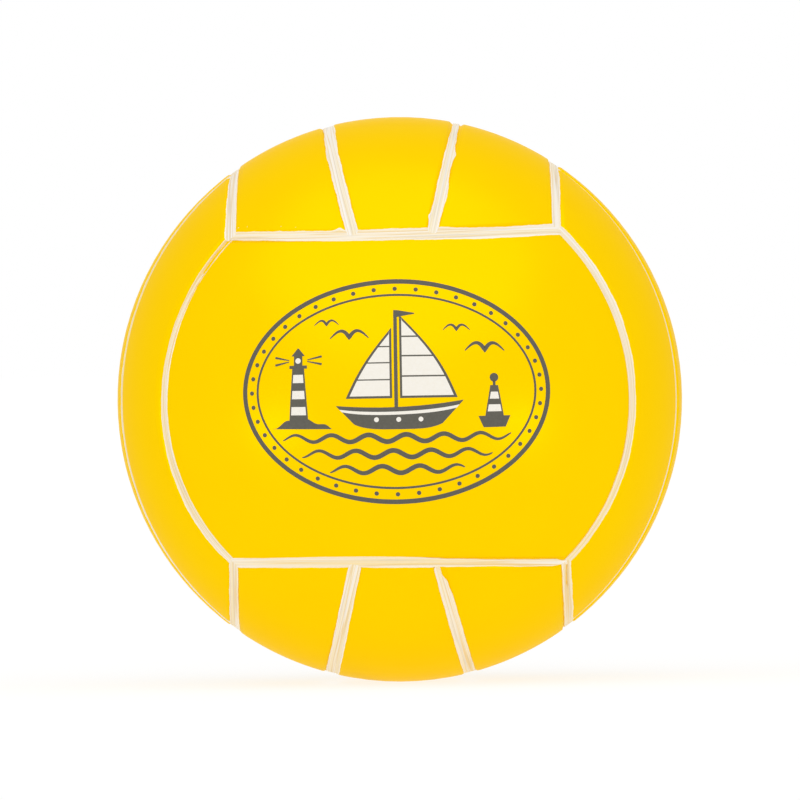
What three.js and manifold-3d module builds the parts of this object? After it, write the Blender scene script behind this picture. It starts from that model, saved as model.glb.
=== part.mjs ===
// A beach ball with a volleyball pattern: one seamless moulded skin with seam grooves, a line of white
// paint in every groove, and a rubber needle valve pressed into a boss at the back.
// Millimetres, +Z up, origin at the ball's centre. The wide plain panel faces -Y and the valve faces +Y.
import * as THREE from "three";
import { mergeVertices } from "three/addons/utils/BufferGeometryUtils.js";
import Module from "manifold-3d";

const wasm = await Module();
wasm.setup();

// Skin
const BALL_DIAMETER = 130;
const WALL = 1.3;

// Seam grooves: a flat floor between two sloping walls. They run a little past the points where they meet,
// so that they open into one another.
const GROOVE_WIDTH = 3.2;
const GROOVE_FLOOR_WIDTH = 2.0;
const GROOVE_DEPTH = 0.6;
const GROOVE_OVERRUN = 0.5;

// Paint in the grooves, with a crease along the middle of each line
const PAINT_THICKNESS = 0.3;
const PAINT_CLEARANCE = 0.1;
const PAINT_END_GAP = 0.2;
const CREASE_WIDTH = 0.7;
const CREASE_DEPTH = 0.15;

// Tilt of the lines that split a side into three strips, in degrees from the middle of that side.
// On the top and the bottom the middle strip sits a little to the left.
const STRIP_TILT_TO_LEFT = 14.6;
const STRIP_TILT_TO_RIGHT = 12.9;
const STRIP_TILT_LEFT_AND_RIGHT_SIDES = 12.7;
const STRIP_TILT_BACK = 13.8;

// The mould's pattern isn't quite regular, as the photo shows: a point of the regular pattern at (x, y, z)
// radii drifts over the ball by these lengths, each times the two coordinates that it names.
const DRIFT_UP_BY_ZZ = 2.5;
const DRIFT_UP_BY_XZ = 2.35;
const DRIFT_BACK_BY_XX = 1.95;
const DRIFT_FORWARD_BY_YY = 1.2;
const DRIFT_RIGHT_BY_ZZ = 0.35;

// Needle valve: heights are measured inwards from the ball's back pole
const VALVE_HEAD_DIAMETER = 10;
const VALVE_HEAD_THICKNESS = 1.6;
const VALVE_HEAD_ROUND = 0.4;
const VALVE_STEM_DIAMETER = 7.2;
const VALVE_TIP_DIAMETER = 6.2;
const VALVE_LENGTH = 11.5;
const VALVE_TIP_ROUND = 1.2;
const VALVE_CLEARANCE = 0.3;
const NEEDLE_BORE_DIAMETER = 1.8;
const NEEDLE_BORE_LENGTH = 8.5;
const NEEDLE_MOUTH_DIAMETER = 3.2;
const NEEDLE_MOUTH_DEPTH = 1.3;
const SLIT_WIDTH = 0.4;
const SLIT_LENGTH = 3.0;

// Boss that the valve is pressed into, moulded on the inside of the skin
const BOSS_WALL = 3.0;
const BOSS_TIP_WALL = 2.2;
const BOSS_LENGTH = 10.5;
const BOSS_FILLET = 3.0;

// Facets
const SKIN_SPLIT_COUNT = 9; // odd, so that the icosahedron puts a vertex on each axis
const INSIDE_SPLIT_COUNT = 5;
const SEAM_STEP_DEGREES = 8;
const VALVE_SIDE_COUNT = 24;
const ROUND_STEP_COUNT = 3;

const BALL_RADIUS = BALL_DIAMETER / 2;
const DEGREE = Math.PI / 180;
// The sides of the pattern meet at the corners of a cube, so a seam plane is this share of the radius out.
const CORNER_SHARE = 1 / Math.sqrt(3);

const SIDES = {
  front: new THREE.Vector3(0, -1, 0),
  back: new THREE.Vector3(0, 1, 0),
  left: new THREE.Vector3(-1, 0, 0),
  right: new THREE.Vector3(1, 0, 0),
  top: new THREE.Vector3(0, 0, 1),
  bottom: new THREE.Vector3(0, 0, -1),
};

// Materials
const skinVinyl = new THREE.MeshStandardMaterial({ color: 0xffd000, roughness: 0.3, metalness: 0 });
const seamPaint = new THREE.MeshStandardMaterial({ color: 0xf4ead8, roughness: 0.55, metalness: 0 });
const valveRubber = new THREE.MeshStandardMaterial({ color: 0x2b2b2d, roughness: 0.6, metalness: 0 });

// Solids and meshes
function solid(geometry) {
  const bare = geometry.clone();
  bare.deleteAttribute("normal");
  bare.deleteAttribute("uv");
  const merged = mergeVertices(bare);
  return new wasm.Manifold(
    new wasm.Mesh({
      numProp: 3,
      vertProperties: merged.getAttribute("position").array,
      triVerts: new Uint32Array(merged.index.array),
    }),
  );
}

function namedMesh(name, body, material) {
  const { vertProperties, triVerts } = body.getMesh();
  const geometry = new THREE.BufferGeometry();
  geometry.setAttribute("position", new THREE.BufferAttribute(vertProperties, 3));
  geometry.setIndex(new THREE.BufferAttribute(triVerts, 1));
  geometry.computeVertexNormals();
  const mesh = new THREE.Mesh(geometry, material);
  mesh.name = name;
  return mesh;
}

// The direction reached by turning `from` by an angle towards `towards`, where the two are square
function turned(from, towards, angle) {
  return from.clone().multiplyScalar(Math.cos(angle)).addScaledVector(towards, Math.sin(angle));
}

// Seam layout. A seam is an arc on the ball: `axis` is the normal of the arc's plane, `middle` points to
// the arc's midpoint within that plane, `polar` is the angle from the axis to the arc and `reach` is the
// angle that the arc turns about the axis on either side of the middle.
function outlineSeam(middleSide, axisSide) {
  return {
    name: `seam_line_${middleSide}_${axisSide}`,
    axis: SIDES[axisSide],
    middle: SIDES[middleSide],
    polar: Math.acos(CORNER_SHARE),
    reach: 45 * DEGREE,
  };
}

function stripSeam(side, towards, tiltDegrees) {
  const tilt = tiltDegrees * DEGREE;
  const along = new THREE.Vector3().crossVectors(SIDES[side], SIDES[towards]);
  const middle = turned(SIDES[side], SIDES[towards], tilt);
  return {
    name: `strip_line_${side}_${towards}`,
    axis: new THREE.Vector3().crossVectors(middle, along),
    middle,
    polar: 90 * DEGREE,
    reach: Math.acos(CORNER_SHARE / Math.cos(tilt)),
  };
}

function seamLayout() {
  const outlines = [
    { middles: ["front", "back"], axes: ["top", "bottom"] },
    { middles: ["top", "bottom"], axes: ["left", "right"] },
    { middles: ["left", "right"], axes: ["front", "back"] },
  ];
  const strips = [
    { sides: ["top", "bottom"], towards: ["left"], tilt: STRIP_TILT_TO_LEFT },
    { sides: ["top", "bottom"], towards: ["right"], tilt: STRIP_TILT_TO_RIGHT },
    { sides: ["left", "right"], towards: ["front", "back"], tilt: STRIP_TILT_LEFT_AND_RIGHT_SIDES },
    { sides: ["back"], towards: ["top", "bottom"], tilt: STRIP_TILT_BACK },
  ];
  const seams = [];
  for (const { middles, axes } of outlines) {
    for (const middle of middles) {
      for (const axis of axes) seams.push(outlineSeam(middle, axis));
    }
  }
  for (const { sides, towards, tilt } of strips) {
    for (const side of sides) {
      for (const edge of towards) seams.push(stripSeam(side, edge, tilt));
    }
  }
  return seams;
}

// Where the mould has a point of the regular pattern: both are unit vectors
function asMoulded(point) {
  const { x, y, z } = point;
  const drift = new THREE.Vector3(
    DRIFT_RIGHT_BY_ZZ * z * z,
    DRIFT_BACK_BY_XX * x * x - DRIFT_FORWARD_BY_YY * y * y,
    DRIFT_UP_BY_ZZ * z * z + DRIFT_UP_BY_XZ * x * z,
  );
  return point.clone().addScaledVector(drift, 1 / BALL_RADIUS).normalize();
}

// Carries a closed section along a seam. A section point is (offset across the seam, height over the ball's
// surface), listed anticlockwise, and `overrun` lengthens the arc at both ends.
function sweepAlongSeam(seam, section, overrun = 0) {
  const across = new THREE.Vector3().crossVectors(seam.axis, seam.middle);
  const reach = seam.reach + overrun / (BALL_RADIUS * Math.sin(seam.polar));
  const steps = Math.ceil((2 * seam.reach) / (SEAM_STEP_DEGREES * DEGREE));
  const count = section.length;
  const positions = [];
  for (let step = 0; step <= steps; step++) {
    const turn = reach * ((2 * step) / steps - 1);
    const outward = turned(seam.middle, across, turn);
    for (const { x: offset, y: height } of section) {
      const point = turned(seam.axis, outward, seam.polar - offset / BALL_RADIUS);
      positions.push(...asMoulded(point).multiplyScalar(BALL_RADIUS + height));
    }
  }
  const faces = [];
  for (let step = 0; step < steps; step++)
    for (let i = 0; i < count; i++) {
      const a = step * count + i;
      const b = step * count + ((i + 1) % count);
      faces.push(a, b, b + count, a, b + count, a + count);
    }
  for (const [a, b, c] of THREE.ShapeUtils.triangulateShape(section, [])) {
    const last = steps * count;
    faces.push(c, b, a, last + a, last + b, last + c);
  }
  const geometry = new THREE.BufferGeometry();
  geometry.setAttribute("position", new THREE.Float32BufferAttribute(positions, 3));
  geometry.setIndex(faces);
  return solid(geometry);
}

// Half the groove's width at a depth below the ball's surface
function grooveHalfWidth(depth) {
  const slope = (GROOVE_WIDTH - GROOVE_FLOOR_WIDTH) / 2 / GROOVE_DEPTH;
  return GROOVE_WIDTH / 2 - slope * depth;
}

function grooveSection() {
  const lift = GROOVE_DEPTH;
  const bottom = grooveHalfWidth(GROOVE_DEPTH);
  const top = grooveHalfWidth(-lift);
  return [
    new THREE.Vector2(-bottom, -GROOVE_DEPTH),
    new THREE.Vector2(bottom, -GROOVE_DEPTH),
    new THREE.Vector2(top, lift),
    new THREE.Vector2(-top, lift),
  ];
}

function paintSection() {
  const floor = GROOVE_DEPTH - PAINT_CLEARANCE;
  const face = floor - PAINT_THICKNESS;
  const bottom = grooveHalfWidth(floor) - PAINT_CLEARANCE;
  const top = grooveHalfWidth(face) - PAINT_CLEARANCE;
  return [
    new THREE.Vector2(-bottom, -floor),
    new THREE.Vector2(bottom, -floor),
    new THREE.Vector2(top, -face),
    new THREE.Vector2(CREASE_WIDTH / 2, -face),
    new THREE.Vector2(0, -face - CREASE_DEPTH),
    new THREE.Vector2(-CREASE_WIDTH / 2, -face),
    new THREE.Vector2(-top, -face),
  ];
}

// The room that a painted line keeps free of the lines painted after it
function paintRoomSection() {
  const half = GROOVE_WIDTH / 2 - PAINT_CLEARANCE + PAINT_END_GAP;
  return [
    new THREE.Vector2(-half, -2 * GROOVE_DEPTH),
    new THREE.Vector2(half, -2 * GROOVE_DEPTH),
    new THREE.Vector2(half, GROOVE_DEPTH),
    new THREE.Vector2(-half, GROOVE_DEPTH),
  ];
}

// Needle valve: profiles are (radius, height), with the height along +Y and 0 at the ball's back pole
function arcPoints(centreX, centreY, radius, fromDegrees, toDegrees) {
  const points = [];
  for (let step = 0; step <= ROUND_STEP_COUNT; step++) {
    const angle = (fromDegrees + ((toDegrees - fromDegrees) * step) / ROUND_STEP_COUNT) * DEGREE;
    points.push(new THREE.Vector2(centreX + radius * Math.cos(angle), centreY + radius * Math.sin(angle)));
  }
  return points;
}

function revolved(points) {
  return solid(new THREE.LatheGeometry(points, VALVE_SIDE_COUNT));
}

function valveCore() {
  const head = VALVE_HEAD_DIAMETER / 2;
  const tip = VALVE_TIP_DIAMETER / 2;
  const bore = NEEDLE_BORE_DIAMETER / 2;
  const body = revolved([
    new THREE.Vector2(0, -VALVE_LENGTH),
    ...arcPoints(tip - VALVE_TIP_ROUND, -VALVE_LENGTH + VALVE_TIP_ROUND, VALVE_TIP_ROUND, -90, 0),
    new THREE.Vector2(VALVE_STEM_DIAMETER / 2, -VALVE_HEAD_THICKNESS),
    new THREE.Vector2(head, -VALVE_HEAD_THICKNESS),
    ...arcPoints(head - VALVE_HEAD_ROUND, -VALVE_HEAD_ROUND, VALVE_HEAD_ROUND, 0, 90),
    new THREE.Vector2(NEEDLE_MOUTH_DIAMETER / 2, 0),
    new THREE.Vector2(bore, -NEEDLE_MOUTH_DEPTH),
    new THREE.Vector2(bore, -NEEDLE_BORE_LENGTH),
    new THREE.Vector2(0, -NEEDLE_BORE_LENGTH),
  ]);
  const lipLength = VALVE_LENGTH - NEEDLE_BORE_LENGTH;
  const slit = new THREE.BoxGeometry(SLIT_LENGTH, 2 * lipLength, SLIT_WIDTH);
  slit.translate(0, -VALVE_LENGTH, 0);
  return body.subtract(solid(slit));
}

function valvePocket() {
  const stemTop = VALVE_STEM_DIAMETER / 2 + VALVE_CLEARANCE;
  const taper = (VALVE_STEM_DIAMETER - VALVE_TIP_DIAMETER) / 2 / (VALVE_LENGTH - VALVE_HEAD_THICKNESS);
  const seat = VALVE_HEAD_THICKNESS + VALVE_CLEARANCE;
  const end = BOSS_LENGTH + WALL;
  const head = VALVE_HEAD_DIAMETER / 2 + VALVE_CLEARANCE;
  return revolved([
    new THREE.Vector2(0, -end),
    new THREE.Vector2(stemTop - taper * (end - seat), -end),
    new THREE.Vector2(stemTop, -seat),
    new THREE.Vector2(head, -seat),
    new THREE.Vector2(head, WALL),
    new THREE.Vector2(0, WALL),
  ]);
}

function valveBoss() {
  const base = VALVE_HEAD_DIAMETER / 2 + VALVE_CLEARANCE + BOSS_WALL;
  const tip = VALVE_TIP_DIAMETER / 2 + VALVE_CLEARANCE + BOSS_TIP_WALL;
  return revolved([
    new THREE.Vector2(0, -BOSS_LENGTH),
    new THREE.Vector2(tip, -BOSS_LENGTH),
    ...arcPoints(base + BOSS_FILLET, -WALL - BOSS_FILLET, BOSS_FILLET, 180, 90),
    new THREE.Vector2(base + BOSS_FILLET, 0),
    new THREE.Vector2(0, 0),
  ]);
}

// Skin: a hollow ball with the boss inside, the grooves outside and the valve's pocket through it
function ballSkin(seams) {
  const outside = solid(new THREE.IcosahedronGeometry(BALL_RADIUS, SKIN_SPLIT_COUNT));
  const inside = solid(new THREE.IcosahedronGeometry(BALL_RADIUS - WALL, INSIDE_SPLIT_COUNT));
  const pole = [0, BALL_RADIUS, 0];
  const boss = valveBoss().translate(pole).intersect(outside);
  const cuts = seams.map((seam) => sweepAlongSeam(seam, grooveSection(), GROOVE_OVERRUN));
  const grooves = wasm.Manifold.union(cuts);
  const shell = outside.subtract(inside).add(boss);
  return shell.subtract(grooves).subtract(valvePocket().translate(pole));
}

// Painted lines, in the order that they are brushed on: each stops short of the ones already there
function paintLines(seams) {
  const group = new THREE.Group();
  let taken = null;
  for (const seam of seams) {
    const line = sweepAlongSeam(seam, paintSection());
    group.add(namedMesh(seam.name, taken ? line.subtract(taken) : line, seamPaint));
    const room = sweepAlongSeam(seam, paintRoomSection(), PAINT_END_GAP);
    taken = taken ? taken.add(room) : room;
  }
  return group;
}

const seams = seamLayout();
const ball = new THREE.Group();
ball.add(namedMesh("ball_skin", ballSkin(seams), skinVinyl));
ball.add(paintLines(seams));

const valve = new THREE.Group();
valve.position.set(0, BALL_RADIUS, 0);
valve.add(namedMesh("valve_core", valveCore(), valveRubber));
ball.add(valve);

export default ball;
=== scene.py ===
# %% [markdown]
# A small play ball for the beach: one seamless skin of soft PVC, moulded with the grooves of a
# volleyball, white paint brushed along every groove by hand, a print on the front and a rubber needle
# valve pressed into the back. The CAD model holds the sizes, the joint and the mounts. This file gives
# each of its pieces a finish, in the same frame.

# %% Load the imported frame
import math

import bmesh
import bpy
import numpy as np
from mathutils import Matrix, Vector


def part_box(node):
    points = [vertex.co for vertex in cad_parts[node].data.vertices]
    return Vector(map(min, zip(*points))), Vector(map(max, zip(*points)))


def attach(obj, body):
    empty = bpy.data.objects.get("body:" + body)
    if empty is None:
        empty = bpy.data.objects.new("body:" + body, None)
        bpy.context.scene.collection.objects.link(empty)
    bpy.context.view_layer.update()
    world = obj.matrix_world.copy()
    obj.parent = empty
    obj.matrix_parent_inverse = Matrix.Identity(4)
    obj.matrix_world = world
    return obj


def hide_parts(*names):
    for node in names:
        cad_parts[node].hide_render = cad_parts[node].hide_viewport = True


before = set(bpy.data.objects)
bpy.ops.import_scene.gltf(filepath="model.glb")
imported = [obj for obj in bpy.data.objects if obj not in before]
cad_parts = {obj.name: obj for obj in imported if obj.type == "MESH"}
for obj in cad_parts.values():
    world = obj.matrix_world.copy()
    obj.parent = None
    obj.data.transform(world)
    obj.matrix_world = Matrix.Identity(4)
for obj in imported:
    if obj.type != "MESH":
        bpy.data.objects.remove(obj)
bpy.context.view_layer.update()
MM = 0.001  # metres in a millimetre; shapes are worked out in mm and turned to metres when a mesh is made
skin_low, skin_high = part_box("ball_skin")
BALL_RADIUS = (skin_high.z - skin_low.z) / 2 / MM
print("ball radius", round(BALL_RADIUS, 3), "mm, CAD nodes", len(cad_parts))


def add_object(name, data):
    """A new object in the scene, at the origin."""
    made = bpy.data.objects.new(name, data)
    bpy.context.scene.collection.objects.link(made)
    return made


# %% [markdown]
# The camera comes first, because it fixes how the ball is seen. The photograph is taken straight from the
# front through a long lens: the outline is a true circle, and a seam on a flat plane stays a straight
# line. A camera that is 40 ball radii away gives the same view, and its lens follows from the outline's
# size in the picture.

# %% Camera
IMAGE_SIZE = 800  # pixels
OUTLINE_RADIUS = 282.32  # pixels
OUTLINE_CENTRE = (399.75, 399.29)  # pixels from the left and from the top
CAMERA_RADII_AWAY = 40
BALL_TURN = (0.283, -0.945, -0.705)  # degrees about X, Y and Z by which the ball is turned to the camera
FAR_CLIP = 100  # metres

camera_data = bpy.data.cameras.new("camera")
camera = add_object("camera", camera_data)
bpy.context.scene.camera = camera
tangent_share = math.sqrt(CAMERA_RADII_AWAY**2 - 1)
camera_data.lens = camera_data.sensor_width * OUTLINE_RADIUS * tangent_share / IMAGE_SIZE
pixel = BALL_RADIUS * MM / OUTLINE_RADIUS  # metres at the ball's centre
aside = (IMAGE_SIZE / 2 - OUTLINE_CENTRE[0]) * pixel
below = (IMAGE_SIZE / 2 - OUTLINE_CENTRE[1]) * pixel
turn = Vector(BALL_TURN)
ball_to_camera = Matrix.Rotation(math.radians(turn.length), 4, turn)
stand = Matrix.Translation((aside, -CAMERA_RADII_AWAY * BALL_RADIUS * MM, -below))
camera.matrix_world = ball_to_camera.inverted() @ stand @ Matrix.Rotation(math.radians(90), 4, "X")
camera_data.clip_end = FAR_CLIP
print("lens", round(camera_data.lens, 1), "mm")

# %% [markdown]
# The grooves follow the volleyball pattern. Take a cube inside the ball: its six faces become six sides,
# and each side is split into three strips that run at right angles to those of its neighbours. A seam
# between two sides is a quarter of a small circle, in a plane one over root three of the radius from the
# centre. A seam between two strips is part of a great circle that is tilted a little from the middle of
# its side. The front side has no strips, because its wide panel carries the print.

# %% Seam network
DIRECTIONS = {
    "front": np.array([0.0, -1.0, 0.0]),
    "back": np.array([0.0, 1.0, 0.0]),
    "left": np.array([-1.0, 0.0, 0.0]),
    "right": np.array([1.0, 0.0, 0.0]),
    "top": np.array([0.0, 0.0, 1.0]),
    "bottom": np.array([0.0, 0.0, -1.0]),
}
# Each side lies between two others, and its strips are split at two tilts towards them, in degrees
STRIPS = {
    "front": ("bottom", "top", 13.8, 13.8),
    "back": ("bottom", "top", 13.8, 13.8),
    "left": ("front", "back", 12.7, 12.7),
    "right": ("front", "back", 12.7, 12.7),
    "top": ("left", "right", 14.6, 12.9),
    "bottom": ("left", "right", 14.6, 12.9),
}
PLAIN_SIDE = "front"
PLANE_SHARE = 1 / math.sqrt(3)  # how far a side's bounding planes lie from the centre, in radii
CIRCLE_SHARE = math.sqrt(2 / 3)  # radius of the circle that such a plane cuts from the ball, in radii
QUARTER = math.radians(45)  # a bounding seam reaches this far to both sides of its middle


def strip_reach(tilt):
    """Half the angle that a strip seam runs over: up to where it meets the planes that bound its side."""
    return math.acos(PLANE_SHARE / math.cos(math.radians(tilt)))


def outline_seam(side, towards):
    """A seam between two sides, on the cone about the second side's direction."""
    return {
        "axis": DIRECTIONS[towards],
        "middle": DIRECTIONS[side],
        "polar": math.acos(PLANE_SHARE),
        "reach": QUARTER,
    }


def strip_seam(side, towards, tilt):
    """A seam between two strips: a great circle through a point tilted from the side's middle."""
    tilted = math.radians(tilt)
    middle = DIRECTIONS[side] * math.cos(tilted) + DIRECTIONS[towards] * math.sin(tilted)
    along = np.cross(DIRECTIONS[side], DIRECTIONS[towards])
    return {
        "axis": np.cross(middle, along),
        "middle": middle,
        "polar": math.radians(90),
        "reach": strip_reach(tilt),
    }


seams = {}
for side, neighbours in STRIPS.items():
    for towards in neighbours[:2]:
        seams[f"seam_line_{side}_{towards}"] = outline_seam(side, towards)
for side, (first, second, first_tilt, second_tilt) in STRIPS.items():
    if side != PLAIN_SIDE:
        seams[f"strip_line_{side}_{first}"] = strip_seam(side, first, first_tilt)
        seams[f"strip_line_{side}_{second}"] = strip_seam(side, second, second_tilt)
print(len(seams), "seams")

# %% [markdown]
# Two questions come up for every surface that follows. Where is the point at some distance along a seam
# and beside it? How far is a point from a seam? Both are answered for whole arrays of points on a ball of
# radius 1.

# %% Places along a seam


def swung(first, second, angles):
    """Unit vectors that are turned by angles from a first direction towards a second one, square to it:
    the cosine times the first plus the sine times the second."""
    return np.cos(angles)[..., None] * first + np.sin(angles)[..., None] * second


def unit(vectors):
    """Vectors drawn to length 1."""
    return vectors / np.linalg.norm(vectors, axis=-1, keepdims=True)


def seam_points(seam, turns, offsets):
    """Unit vectors at turns along a seam and offsets beside it in mm: a point on the cone about the
    seam's axis, at the seam's polar angle less the offset's angle, turned from the seam's middle."""
    across = np.cross(seam["axis"], seam["middle"])
    outward = swung(seam["middle"], across, turns)
    return swung(seam["axis"], outward, seam["polar"] - offsets / BALL_RADIUS)


def seam_distance(points, seam):
    """Distance over the ball from unit vectors to a seam, in mm: beside it, the angle between the point
    and the seam's cone, and past an end, the angle to that end."""
    across = np.cross(seam["axis"], seam["middle"])
    turns = np.arctan2(points @ across, points @ seam["middle"])
    held = np.clip(turns, -seam["reach"], seam["reach"])
    nearest = seam_points(seam, held, np.zeros_like(held))
    beside = np.abs(seam["polar"] - np.arccos(np.clip(points @ seam["axis"], -1, 1)))
    to_end = 2 * np.arcsin(np.clip(np.linalg.norm(points - nearest, axis=-1) / 2, 0, 1))
    return BALL_RADIUS * np.where(held == turns, beside, to_end)


top_seam = seams["seam_line_front_top"]
seam_length = 2 * top_seam["reach"] * BALL_RADIUS * math.sin(top_seam["polar"])
print("a seam between two sides is", round(seam_length, 1), "mm long")

# %% [markdown]
# A mould for a cheap ball isn't cut to a perfect pattern. Next to a perfect one, the photograph's seams
# sit up to a millimetre and a half off, in a smooth way: the right-hand corners are higher, and the arcs
# at the sides lie further back. So the pattern is worked out as a perfect one, and each finished point
# then drifts a little.

# %% Drift of the mould's pattern
DRIFT_UP_BY_ZZ = 2.5  # mm at one radius up; the two letters name the coordinates that it grows with
DRIFT_UP_BY_XZ = 2.35
DRIFT_BACK_BY_XX = 1.95
DRIFT_FORWARD_BY_YY = 1.2
DRIFT_RIGHT_BY_ZZ = 0.35


def as_moulded(points):
    """Where the mould has points of the perfect pattern: each unit vector plus a drift that is made of
    products of two of its coordinates, drawn back to length 1."""
    x, y, z = np.moveaxis(points, -1, 0)
    right = DRIFT_RIGHT_BY_ZZ * z * z
    back = DRIFT_BACK_BY_XX * x * x - DRIFT_FORWARD_BY_YY * y * y
    up = DRIFT_UP_BY_ZZ * z * z + DRIFT_UP_BY_XZ * x * z
    return unit(points + np.stack([right, back, up], axis=-1) / BALL_RADIUS)


corner = np.array([[1.0, -1.0, 1.0]]) * PLANE_SHARE
print("drift at a front corner", np.round((as_moulded(corner) - corner) * BALL_RADIUS, 2), "mm")

# %% [markdown]
# A groove in the mould leaves a shallow valley with a flat floor and soft shoulders. Its depth at any
# point depends only on the distance to the nearest seam, so one function serves the skin and the paint
# that lies on it.

# %% Groove depth
GROOVE_DEPTH = 0.6
GROOVE_FLOOR = 0.75  # half the width of the flat floor
GROOVE_EDGE = 2.0  # half the width where the shoulders meet the ball's round


def groove_depth(points):
    """How far the skin lies under the ball's round at unit vectors, in mm: the full depth over the floor,
    then the smooth step 6x^5 - 15x^4 + 10x^3 up to the shoulder."""
    near = np.min([seam_distance(points, seam) for seam in seams.values()], axis=0)
    rise = np.clip((near - GROOVE_FLOOR) / (GROOVE_EDGE - GROOVE_FLOOR), 0, 1)
    return GROOVE_DEPTH * (1 - rise**3 * (6 * rise**2 - 15 * rise + 10))


beside_seam = np.array([0.0, 1.0, 1.5, 2.0])
depths = groove_depth(seam_points(top_seam, np.zeros(len(beside_seam)), beside_seam))
print("groove", np.round(depths, 2), "mm deep at", beside_seam, "mm from its middle")

# %% [markdown]
# The skin could be a sphere with a displacement map, but then the grooves would be jagged wherever they
# cross the grid. Here the grid follows the seams. Every side is three strips, each a Coons patch: a
# surface blended from its four edges, which are the seams themselves. The grid lines crowd together over
# the grooves and spread out on the plain yellow, and the lines of neighbouring sides meet point for
# point, so the sides weld into one skin.

# %% Grid lines of one side
GROOVE_LINES = np.array([0, 0.3, 0.6, 0.85, 1.05, 1.25, 1.45, 1.65, 1.85, 2.1, 2.4, 2.8])  # mm from a seam
PLAIN_SPACING = 2.3  # mm between the lines on the plain yellow


def graded_shares(length):
    """Places from 0 to 1 along a length in mm that has a seam at both ends."""
    inner = length - 2 * GROOVE_LINES[-1]
    between = np.linspace(0, inner, math.ceil(inner / PLAIN_SPACING) + 1)[1:-1] + GROOVE_LINES[-1]
    return np.concatenate([GROOVE_LINES, between, length - GROOVE_LINES[::-1]]) / length


def end_corners(side):
    """Turns along a side's end edges, in radians, of its two corners and its two strip seams."""
    low, high = [math.asin(math.tan(math.radians(tilt)) / math.sqrt(2)) for tilt in STRIPS[side][2:]]
    return [-QUARTER, -low, high, QUARTER]


def strip_shares(side):
    """For each of a side's three strips, where its grid lines cross the end edge, from 0 to 1."""
    corners = end_corners(side)
    return [graded_shares((b - a) * CIRCLE_SHARE * BALL_RADIUS) for a, b in zip(corners, corners[1:])]


def end_turns(side):
    """Turns along a side's end edges of all its grid lines."""
    corners = end_corners(side)
    runs = [a + (b - a) * shares for a, b, shares in zip(corners, corners[1:], strip_shares(side))]
    return np.concatenate([runs[0], runs[1][1:], runs[2][1:]])


def side_axes(side):
    """The side's outward direction, the direction across its strips and the direction along them."""
    outward = DIRECTIONS[side]
    across = DIRECTIONS[STRIPS[side][1]]
    return outward, across, np.cross(across, outward)


def side_turns(side):
    """Turns along a side's long edges: those at which the neighbour's grid lines end there."""
    neighbour = STRIPS[side][1]
    along = side_axes(side)[2]
    return np.sort(end_turns(neighbour) * (along @ side_axes(neighbour)[1]))


print("grid lines across each side", [len(end_turns(side)) for side in STRIPS])

# %% [markdown]
# With the lines known, a patch needs its four edges. The two long ones are seams, or the lines where the
# front's strip seams would be, and the two short ones are parts of the seams that close the side's ends.

# %% Grid of one side


def strip_edge(side, line, turns):
    """One of the four lines along a side: 0 and 3 are its bounding seams, 1 and 2 its strip seams."""
    outward, across, along = side_axes(side)
    sign = -1 if line < 2 else 1
    if line in (0, 3):
        return sign * across * PLANE_SHARE + swung(outward, along, turns) * CIRCLE_SHARE
    seam = strip_seam(side, STRIPS[side][line - 1], STRIPS[side][line + 1])
    return swung(seam["middle"], along, turns * seam["reach"] / QUARTER)


def strip_end(side, end, turns):
    """The low (-1) or high (1) end edge of a side, at turns from one long edge to the other."""
    outward, across, along = side_axes(side)
    return outward * PLANE_SHARE + swung(end * along, across, turns) * CIRCLE_SHARE


def strip_patch(side, strip):
    """A Coons patch: the blend between the two long edges, plus the blend between the two end edges, less
    the blend between the four corners, drawn out to the unit ball."""
    turns = side_turns(side)
    low, high = strip_edge(side, strip, turns), strip_edge(side, strip + 1, turns)
    shares = strip_shares(side)[strip]
    corners = end_corners(side)
    crossing = corners[strip] + (corners[strip + 1] - corners[strip]) * shares
    start, stop = strip_end(side, -1, crossing), strip_end(side, 1, crossing)
    u = ((turns + QUARTER) / (2 * QUARTER))[:, None, None]
    v = shares[None, :, None]
    long_blend = (1 - v) * low[:, None] + v * high[:, None]
    end_blend = (1 - u) * start[None] + u * stop[None]
    corner_blend = (1 - u) * ((1 - v) * low[0] + v * high[0]) + u * ((1 - v) * low[-1] + v * high[-1])
    return unit(long_blend + end_blend - corner_blend)


def side_grid(side):
    """Unit vectors of a whole side: its three strips joined along their shared seams."""
    patches = [strip_patch(side, strip) for strip in range(3)]
    return np.concatenate([patches[0], patches[1][:, 1:], patches[2][:, 1:]], axis=1)


def grid_faces(grid, around=False):
    """Four-cornered faces of a grid of points, also from its last row to its first if it goes around."""
    index = np.arange(grid.shape[0] * grid.shape[1]).reshape(grid.shape[:2])
    if around:
        index = np.concatenate([index, index[:1]])
    corners = [index[:-1, :-1], index[1:, :-1], index[1:, 1:], index[:-1, 1:]]
    return np.stack(corners, axis=-1)


for side in STRIPS:
    print(side, "grid", side_grid(side).shape[:2])

# %% [markdown]
# At the back the skin turns in to hold the valve: a rounded lip, a shallow pocket for the valve's head, a
# tapered bore through a boss, and then the inside of the ball. All of that is round about the valve's
# axis, so it is one profile that is turned about it, with a point for every corner of a window left in
# the back's grid.

# %% Profile of the valve pocket and the inside of the skin
WALL = 1.3
VALVE_CLEARANCE = 0.3
VALVE_HEAD_DIAMETER = 10.0
VALVE_HEAD_THICKNESS = 1.6
VALVE_STEM_DIAMETER = 7.2
VALVE_TIP_DIAMETER = 6.2
VALVE_LENGTH = 11.5
BOSS_WALL = 3.0
BOSS_TIP_WALL = 2.2
BOSS_LENGTH = 10.5
BOSS_FILLET = 3.0
LIP_ROUND = 0.35


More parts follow.
